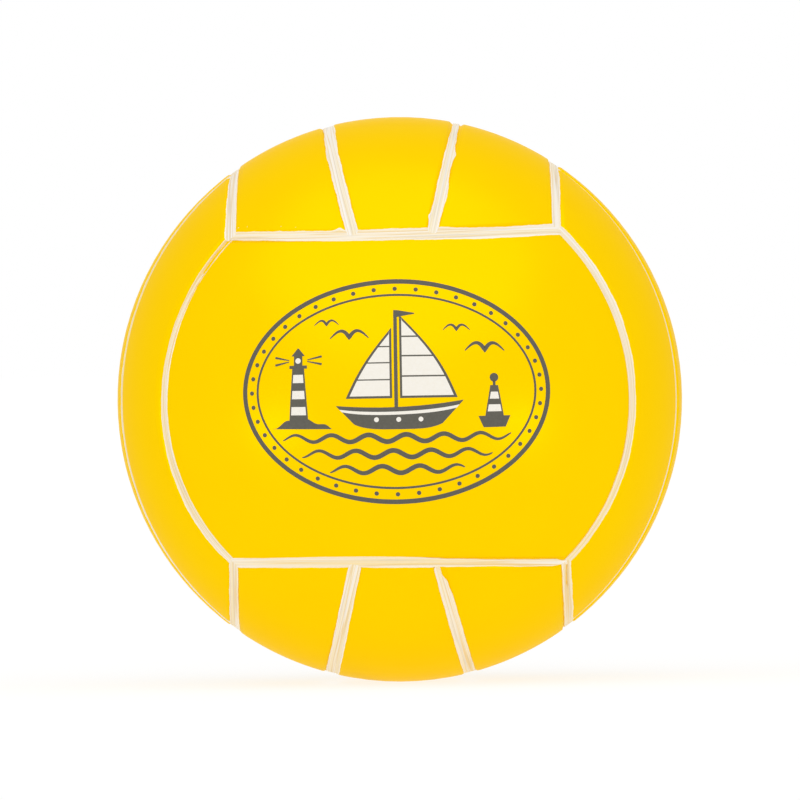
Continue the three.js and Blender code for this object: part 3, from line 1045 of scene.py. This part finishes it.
for outer, inner in RING_LINES:
    outer_line = ellipse(RING[0] - outer, RING[1] - outer)
    inner_line = ellipse(RING[0] - inner, RING[1] - inner)
    ink("dark", outer_line, inner_line, around=True)
for centre in ellipse(RING[0] - DOT_INSET, RING[1] - DOT_INSET, DOT_COUNT):
    dot("dark", centre, DOT_RADIUS)
print("ring", 2 * RING[0], "by", 2 * RING[1], "mm")

# %% [markdown]
# The boat's sails and its mast with a pennant come first. A sail is a dark shape with lighter panels over
# it, which leave thin dark lines for its border and the seams of its cloth.

# %% Emblem: sails and mast of the boat
MAST_FOOT, MAST_TOP, MAST_HALF_WIDTH = -4.0, 18.5, 0.4
PENNANT = ((0.4, -1.6, 0.0), (4.4, -0.9, -0.7))  # right, and its two edges' heights from the mast's top
SAILS = ((0.9, 13.0, 19.0, 1.6), (-0.9, -10.5, 16.0, 0.9))  # mast side, foot, height and belly
SAIL_FOOT = -1.6
SAIL_BORDER = 0.5
SAIL_TIP_BORDERS = 2.6  # borders that fit into a sail's height, as its tip is sharp
SAIL_EDGE_BORDERS = 1.3  # borders across its slanting outer edge
SAIL_TIP_WIDTH = 0.05
SAIL_STEPS = 25
SAIL_PANELS = ((0.0, 0.24), (0.26, 0.5), (0.52, 0.75), (0.77, 1.0))  # shares of the height


def sail(kind, mast_side, foot, height, belly, inset, low, high):
    """Part of a sail, from a low to a high share of its height, between its mast and its outer edge. That
    edge runs in from the foot's length to the top and bellies out, and an inset draws the shape in all
    round."""
    sign = 1 if foot > 0 else -1
    up = SAIL_FOOT + inset + np.linspace(low, high, SAIL_STEPS) * (height - SAIL_TIP_BORDERS * inset)
    shares = (up - SAIL_FOOT) / height
    bellied = belly * np.sin(math.pi * shares) - SAIL_EDGE_BORDERS * inset
    outer = mast_side + foot * (1 - shares) + sign * bellied
    inner = np.full_like(up, mast_side + sign * inset)
    outer = np.where(sign * (outer - inner) > SAIL_TIP_WIDTH, outer, inner + sign * SAIL_TIP_WIDTH)
    ink(kind, np.stack([inner, up], axis=1), np.stack([outer, up], axis=1))


for mast_side, foot, height, belly in SAILS:
    sail("dark", mast_side, foot, height, belly, 0.0, 0.0, 1.0)
    for low, high in SAIL_PANELS:
        sail("light", mast_side, foot, height, belly, SAIL_BORDER, low, high)
mast_sides = [
    line((x, MAST_FOOT), (x, MAST_TOP), steps=20) for x in (-MAST_HALF_WIDTH, MAST_HALF_WIDTH)
]
ink("dark", *mast_sides)
near, far = np.array(PENNANT)
pennant_edges = [
    line((near[0], MAST_TOP + near[i]), (far[0], MAST_TOP + far[i]), steps=8) for i in (1, 2)
]
ink("dark", *pennant_edges)
print("sails", [height for mast_side, foot, height, belly in SAILS], "mm high")

# %% [markdown]
# The hull lies between two curves. The deck is a parabola that sags in its middle and rises most at the
# bow, and the keel is a flatter curve that turns up at its ends. A light stripe follows the deck, with
# portholes under it.

# %% Emblem: hull of the boat
DECK_HALF_LENGTH, DECK_MIDDLE, DECK_HEIGHT = 14.5, 0.8, -3.6
DECK_SHEER, BOW_RISE = 0.9, 0.5  # how far both ends of the deck rise, and how much more the bow does
KEEL_HALF_LENGTH, KEEL_MIDDLE, KEEL_HEIGHT = 10.0, 0.4, -8.6
KEEL_ROUND = 1.2  # how far its ends rise
STRIPE = (0.34, 0.2)  # lower and upper edge, as shares of the way from the deck to the keel
PORTHOLES, PORTHOLE_HEIGHT, PORTHOLE_RADIUS = (-4.5, 0.5, 5.5), -6.4, 0.55

hull = np.linspace(-1, 1, CURVE_STEPS)
deck_rise = DECK_SHEER * hull**2 + BOW_RISE * hull
deck = np.stack([DECK_HALF_LENGTH * hull + DECK_MIDDLE, DECK_HEIGHT + deck_rise], axis=1)
keel_rise = KEEL_ROUND * hull**4
keel = np.stack([KEEL_HALF_LENGTH * hull + KEEL_MIDDLE, KEEL_HEIGHT + keel_rise], axis=1)
ink("dark", keel, deck)
ink("light", *[(1 - share) * deck + share * keel for share in STRIPE])
for x in PORTHOLES:
    dot("light", np.array([x, PORTHOLE_HEIGHT]), PORTHOLE_RADIUS)
print("boat", round(MAST_TOP - KEEL_HEIGHT, 1), "mm high")

# %% [markdown]
# On the left a lighthouse stands on a rock, and on the right floats a buoy. Both are stacks of shapes
# that narrow evenly towards the top, with light bands over the dark.

# %% Emblem: lighthouse and buoy
# A stack is given by the heights of its foot and its top, and half its width at its foot and its top
TOWER = (-7.2, 5.5, 2.3, 1.4)
TOWER_HEAD = ((5.5, 6.2, 2.1, 2.1), (6.2, 8.4, 1.0, 1.0), (8.4, 10.2, 1.6, 0.1))  # gallery, lantern, roof
TOWER_X, TOWER_BANDS, TOWER_BAND_HEIGHT = -22.5, (-5.2, -1.5, 2.2), 1.9
LANTERN_HEIGHT, LANTERN_RADIUS = 7.3, 0.65
BEAM_START, BEAM_END = (2.2, 0.18), (5.6, 0.9)  # from the lantern, to the side and up or down
BEAM_WIDTHS = (0.2, 0.5)  # at its start and its end
BEAM_STEPS = 8
ROCK_HALF_LENGTH, ROCK_MIDDLE, ROCK_FOOT = 7.2, 0.6, -8.4
ROCK_RISE, ROCK_EDGE, ROCK_SLANT = 2.0, 0.1, 0.4  # height, height of its ends and how far they lean in
ROCK_BUMP, ROCK_BUMP_TURNS = 0.35, 9  # size of the bumps on it, and radians of their sine to each side
BUOY = (-6.0, 1.0, 2.2, 0.9)
BUOY_FLOAT = (-8.6, -6.0, 2.6, 3.8)
BUOY_POLE = (1.0, 2.0, 0.3, 0.3)
BUOY_X, BUOY_BANDS, BUOY_BAND_HEIGHT = 22.5, (-5.0, -2.1), 1.6
BUOY_BALL_HEIGHT, BUOY_BALL_RADIUS = 2.8, 1.0
BAND_INSET = 0.35


def stack(kind, x, foot, top, half_foot, half_top):
    """A shape with a level foot, a level top and straight sides, from half its widths at both."""
    left_side = line((x - half_foot, foot), (x - half_top, top), steps=8)
    ink(kind, left_side, left_side * (-1, 1) + (2 * x, 0))


def banded_stack(x, whole, band_feet, band_height):
    """A dark stack with light bands over it, each a little narrower than the stack is at that height."""
    stack("dark", x, *whole)
    for band_foot in band_feet:
        halves = np.interp((band_foot, band_foot + band_height), whole[:2], whole[2:]) - BAND_INSET
        stack("light", x, band_foot, band_foot + band_height, *halves)


banded_stack(TOWER_X, TOWER, TOWER_BANDS, TOWER_BAND_HEIGHT)
for part in TOWER_HEAD:
    stack("dark", TOWER_X, *part)
lantern = np.array([TOWER_X, LANTERN_HEIGHT])
dot("light", lantern, LANTERN_RADIUS)
for signs in ((-1, -1), (-1, 1), (1, -1), (1, 1)):
    beam = lantern + line(BEAM_START, BEAM_END, BEAM_STEPS) * signs
    ribbon("dark", beam, np.linspace(*BEAM_WIDTHS, BEAM_STEPS))
rock = np.linspace(-1, 1, CURVE_STEPS)
rock_x = TOWER_X + ROCK_MIDDLE + ROCK_HALF_LENGTH * rock
rock_foot = np.stack([rock_x, np.full_like(rock, ROCK_FOOT)], axis=1)
rock_height = ROCK_EDGE + ROCK_RISE * (1 - rock**2) + ROCK_BUMP * np.sin(ROCK_BUMP_TURNS * rock)
ink("dark", rock_foot, rock_foot + np.stack([-ROCK_SLANT * rock, rock_height], axis=1))

stack("dark", BUOY_X, *BUOY_FLOAT)
banded_stack(BUOY_X, BUOY, BUOY_BANDS, BUOY_BAND_HEIGHT)
stack("dark", BUOY_X, *BUOY_POLE)
dot("dark", np.array([BUOY_X, BUOY_BALL_HEIGHT]), BUOY_BALL_RADIUS)
print("lighthouse", round(TOWER_HEAD[-1][1] - ROCK_FOOT, 1), "mm high on its rock")

# %% [markdown]
# Gulls and waves fill the rest. Each is a line that swells in its middle: a gull is two humps of a sine
# wave, and a wave is a row of them.

# %% Emblem: gulls and waves
# Of each gull, its place to the right and up, and its size
GULLS = ((-10.5, 12.2, 0.85), (-15.8, 15.4, 0.55), (14.0, 13.8, 0.6), (20.5, 9.0, 0.9))
GULL_HALF_SPAN, GULL_LIFT = 5.2, 2.0
GULL_WIDTHS = (0.2, 0.9)  # at the wings' tips, and how much more in the middle
GULL_HUNCH, GULL_TAPER = 0.8, 0.7  # powers that draw the humps inwards and taper the wings
# Of each wave, its place up, half its length and the start of its sine
WAVES = ((-10.6, 26.5, 0.0), (-14.2, 22.0, 2.2), (-17.8, 15.5, 4.1))
WAVE_LENGTH, WAVE_HEIGHT, WAVE_STEPS = 8.5, 0.8, 121
WAVE_WIDTHS = (0.15, 0.95)  # at its ends, and how much more in the middle

spread = np.linspace(-1, 1, CURVE_STEPS)
for x, z, size in GULLS:
    lift = GULL_LIFT * np.sin(math.pi * np.abs(spread) ** GULL_HUNCH)
    wings = np.stack([x + GULL_HALF_SPAN * size * spread, z + size * lift], axis=1)
    widths = GULL_WIDTHS[0] + GULL_WIDTHS[1] * (1 - np.abs(spread)) ** GULL_TAPER
    ribbon("dark", wings, size * widths)
for level, half_length, first_angle in WAVES:
    run = np.linspace(-half_length, half_length, WAVE_STEPS)
    crest = level + WAVE_HEIGHT * np.sin(2 * math.pi * run / WAVE_LENGTH + first_angle)
    widths = WAVE_WIDTHS[0] + WAVE_WIDTHS[1] * np.sqrt(1 - (run / half_length) ** 2)
    ribbon("dark", np.stack([run, crest], axis=1), widths)
print(len(ink_films["dark"]), "dark films,", len(ink_films["light"]), "light ones")

# %% [markdown]
# All films of one ink become one piece, because they are printed through one screen.

# %% Print
for kind, material in inks.items():
    films = [(film, film_faces(len(film), INK_LINES, around)) for film, around in ink_films[kind]]
    points, faces = joined(films)
    piece = make_piece("front_print_" + kind, points, faces, "ball", [], material)
    print(piece.name, len(piece.data.polygons), "faces")

# %% [markdown]
# The valve is moulded from black rubber: a flat head, a tapered stem, a passage for the pump's needle and
# a slit that closes it. Rubber from a rough mould is dull, with fine grey dust that never quite washes
# off.

# %% Valve material
DUST_GRAIN = 0.5
DUST_DEPTH = 0.01

rubber, tree = new_material("rubber_moulded_black")
place = add_node(tree, "ShaderNodeTexCoord").outputs["Object"]
specks_of_dust = {"Vector": place, "Scale": 1 / (DUST_GRAIN * MM), "Detail": 3.0}
dust = add_node(tree, "ShaderNodeTexNoise", specks_of_dust)
colours = {0: dust.outputs["Fac"], 6: linear("#1C1B1A"), 7: linear("#2B2A28")}
black = add_node(tree, "ShaderNodeMix", colours, data_type="RGBA")
relief = {"Height": dust.outputs["Fac"], "Strength": 0.5, "Distance": DUST_DEPTH * MM}
bump = add_node(tree, "ShaderNodeBump", relief)
surface = {"Base Color": black.outputs[2], "Roughness": 0.7, "IOR": 1.52, "Normal": bump.outputs["Normal"]}
shader = add_node(tree, "ShaderNodeBsdfPrincipled", surface)
add_node(tree, "ShaderNodeOutputMaterial", {"Surface": shader.outputs["BSDF"]})
print("made", rubber.name)

# %% [markdown]
# The valve is round about its axis, so it is one profile turned about it. Only the slit isn't round: a
# thin block cuts it out of the tip with a Boolean modifier, whose result then becomes the valve's mesh.

# %% Valve core
HEAD_ROUND = 0.4
HEAD_CHAMFER = 0.2
TIP_ROUND = 1.2
NEEDLE_BORE = 1.8
NEEDLE_BORE_LENGTH = 8.5
NEEDLE_MOUTH = 3.2
NEEDLE_MOUTH_DEPTH = 1.3
NEEDLE_MOUTH_ROUND = 0.3
SLIT_WIDTH = 0.4
SLIT_LENGTH = 3.0
VALVE_SIDES = 72


def valve_profile():
    """Radius and height of the valve, from the middle of its tip up its side and down its passage."""
    head, tip, bore = VALVE_HEAD_DIAMETER / 2, VALVE_TIP_DIAMETER / 2, NEEDLE_BORE / 2
    mouth = NEEDLE_MOUTH_ROUND
    parts = [
        [(0, -VALVE_LENGTH)],
        arc(tip - TIP_ROUND, TIP_ROUND - VALVE_LENGTH, TIP_ROUND, -90, 0, steps=8),
        [(VALVE_STEM_DIAMETER / 2, -VALVE_HEAD_THICKNESS), (head - HEAD_CHAMFER, -VALVE_HEAD_THICKNESS)],
        [(head, -VALVE_HEAD_THICKNESS + HEAD_CHAMFER)],
        arc(head - HEAD_ROUND, -HEAD_ROUND, HEAD_ROUND, 0, 90, steps=6),
        arc(NEEDLE_MOUTH / 2 + mouth, -mouth, mouth, 90, 150, steps=4),
        [(bore, -NEEDLE_MOUTH_DEPTH), (bore, -NEEDLE_BORE_LENGTH), (0, -NEEDLE_BORE_LENGTH)],
    ]
    return np.concatenate(parts) + (0, BALL_RADIUS)


angles = np.linspace(0, 2 * math.pi, VALVE_SIDES, endpoint=False)
valve_shell = turned(valve_profile()[::-1], -angles)
faces = grid_faces(valve_shell, around=True)
valve = make_piece(
    "valve_core_rubber", valve_shell, faces, "valve", ["valve_core"], rubber, merge=True
)
lip_length = VALVE_LENGTH - NEEDLE_BORE_LENGTH
block_size = (SLIT_LENGTH * MM, 2 * lip_length * MM, SLIT_WIDTH * MM)
block_place = Matrix.Translation((0, (BALL_RADIUS - VALVE_LENGTH) * MM, 0))
block_mesh = bpy.data.meshes.new("slit_block")
block = bmesh.new()
bmesh.ops.create_cube(block, size=1.0, matrix=block_place @ Matrix.Diagonal((*block_size, 1.0)))
block.to_mesh(block_mesh)
block.free()
slit_block = add_object("slit_block", block_mesh)
cut = valve.modifiers.new("slit", "BOOLEAN")
cut.object = slit_block
cut.operation = "DIFFERENCE"
cut.solver = "EXACT"
bpy.context.view_layer.update()
slitted = valve.evaluated_get(bpy.context.evaluated_depsgraph_get())
valve.data = bpy.data.meshes.new_from_object(slitted)
valve.modifiers.clear()
bpy.data.objects.remove(slit_block)
print("valve core", len(valve.data.polygons), "faces, materials", len(valve.data.materials))

# %% [markdown]
# The stage is a plain white light table, as small goods are often photographed on: it glows evenly, so
# the underside of the ball is nearly as bright as the rest, and only a pale shadow is left. The room is
# evenly lit, and one large soft lamp over the camera makes the upper front the brightest part.

# %% Floor
FLOOR_HALF_SIZE = 30.0  # metres
FLOOR_GLOW = 0.77

table, tree = new_material("acrylic_matt_white_lit")
surface = {
    "Base Color": linear("#8B8B8B"),
    "Roughness": 0.9,
    "Specular IOR Level": 0.0,
    "Emission Color": (1.0, 1.0, 1.0, 1.0),
    "Emission Strength": FLOOR_GLOW,
}
shader = add_node(tree, "ShaderNodeBsdfPrincipled", surface)
add_node(tree, "ShaderNodeOutputMaterial", {"Surface": shader.outputs["BSDF"]})

floor_mesh = bpy.data.meshes.new("floor")
corners = np.array([(-1, -1, 0), (1, -1, 0), (1, 1, 0), (-1, 1, 0)]) * FLOOR_HALF_SIZE
floor_mesh.from_pydata((corners - (0, 0, BALL_RADIUS * MM)).tolist(), [], [(0, 1, 2, 3)])
floor_mesh.materials.append(table)
floor = add_object("floor", floor_mesh)
print("floor", round(-floor_mesh.vertices[0].co.z / MM, 2), "mm under the ball's centre")

# %% [markdown]
# The room reads as white where the camera looks at it directly or in a reflection, and lights the ball a
# little less than that, which leaves room for the lamps.

# %% World
ROOM_LEVEL = 0.57

world = bpy.data.worlds.new("studio")
bpy.context.scene.world = world
world.use_nodes = True
tree = world.node_tree
tree.nodes.clear()
paths = add_node(tree, "ShaderNodeLightPath").outputs
seen = paths["Is Camera Ray"]
for ray in ("Is Glossy Ray", "Is Transmission Ray"):
    seen = add_node(tree, "ShaderNodeMath", {0: seen, 1: paths[ray]}, operation="MAXIMUM").outputs[0]
level = add_node(tree, "ShaderNodeMapRange", {"Value": seen, "To Min": ROOM_LEVEL, "To Max": 1.0})
background = {"Color": (1, 1, 1, 1), "Strength": level.outputs["Result"]}
background = add_node(tree, "ShaderNodeBackground", background)
add_node(tree, "ShaderNodeOutputWorld", {"Surface": background.outputs["Background"]})
bpy.context.scene.view_settings.view_transform = "Standard"
print("room at", ROOM_LEVEL, "of white")

# %% [markdown]
# The lamp over the camera is so far away that it lights the whole table evenly, and so the table stays
# white up to the horizon and keeps only the ball's own shadow. Two small panels stand on the table, to
# the left and the right of the camera. They add little light, but the skin reflects each as a soft glow
# beside the emblem.

# %% Lamps
LAMP_HEIGHT_ANGLE = 62  # degrees over the horizon
LAMP_WIDTH_ANGLE = 95  # degrees that the lamp spans as seen from the ball
LAMP_STRENGTH = 1.25
PANEL_SIZE = (80.0, 50.0)  # mm, width and height
PANEL_PLACE = (180.0, -180.0, -37.0)  # mm from the ball's centre, for the right one
PANEL_BRIGHTNESS = 1.9  # where white is 1


def add_light(data, place):
    """A light at a place, turned so that it shines at the ball's centre."""
    light = add_object(data.name, data)
    light.location = place
    light.rotation_mode = "QUATERNION"
    light.rotation_quaternion = (-light.location).to_track_quat("-Z", "Y")
    return light


lamp_data = bpy.data.lights.new("soft_lamp", "SUN")
lamp_data.angle = math.radians(LAMP_WIDTH_ANGLE)
lamp_data.energy = LAMP_STRENGTH
height_angle = math.radians(LAMP_HEIGHT_ANGLE)
lamp = add_light(lamp_data, Vector((0, -math.cos(height_angle), math.sin(height_angle))))
for name, side in (("panel_left", -1), ("panel_right", 1)):
    panel_data = bpy.data.lights.new(name, "AREA")
    panel_data.shape = "RECTANGLE"
    panel_data.size, panel_data.size_y = PANEL_SIZE[0] * MM, PANEL_SIZE[1] * MM
    panel_data.energy = PANEL_BRIGHTNESS * math.pi * panel_data.size * panel_data.size_y
    panel = add_light(panel_data, Vector(PANEL_PLACE) * MM * Vector((side, 1, 1)))
    panel.visible_camera = False
print("lamp at", [round(value, 2) for value in lamp.location], "and two panels")

# %% [markdown]
# Last, the scene is brought up to date.

# %% Update the scene
bpy.context.view_layer.update()
